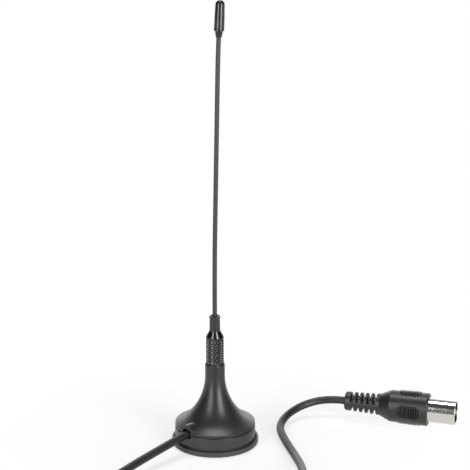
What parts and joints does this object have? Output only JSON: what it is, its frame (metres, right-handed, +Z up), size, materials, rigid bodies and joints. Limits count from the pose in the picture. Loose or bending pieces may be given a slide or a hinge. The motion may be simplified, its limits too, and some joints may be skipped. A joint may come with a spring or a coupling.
{
  "type": "tv antenna",
  "caption": "Whip TV antenna on a flared magnetic base: a thin bent wire with a cap in a knurled collar, and a coaxial lead to a moulded push-on plug.",
  "frame": {"origin": "centre of the foot's underside, on the surface that the antenna stands on", "axes": "+Z up the whip, +X to the right and -Y to the front as the picture shows it"},
  "size_m": [0.1409, 0.1326, 0.1653],
  "materials": {
    "foot_rubber": "soft matt black",
    "band_plastic": "satin black",
    "bell_plastic": "satin black",
    "ferrite": "sintered, ground flat",
    "zinc_steel": "zinc plated",
    "bare_brass": "turned, bare",
    "black_plated_brass": "black plated, knurled below",
    "black_coated_wire": "satin black coat",
    "cap_plastic": "glossy black",
    "bare_copper": "bare copper",
    "cable_jacket": "satin black jacket",
    "tie_plastic": "matt black strap",
    "boot_plastic": "satin black moulding, finely textured",
    "nickel_plate": "bright nickel plate",
    "insulator_plastic": "natural white"
  },
  "bodies": {
    "root": {"foot_pad": "foot_rubber", "base_band": "band_plastic", "base_bell": "bell_plastic", "magnet": "ferrite", "pole_plate": "zinc_steel", "neck_stud": "bare_brass", "whip_collar": "black_plated_brass", "whip_rod": "black_coated_wire", "tip_cap": "cap_plastic", "cable_crimp": "bare_brass", "core_tail": "bare_copper", "braid_tail": "bare_copper", "antenna_cable": "cable_jacket", "cable_coil": "cable_jacket", "coil_tie": "tie_plastic", "plug_lead": "cable_jacket", "plug_boot": "boot_plastic", "plug_sleeve": "nickel_plate", "plug_clamp": "nickel_plate", "plug_insulator": "insulator_plastic", "plug_pin": "nickel_plate"}
  },
  "joints": []
}
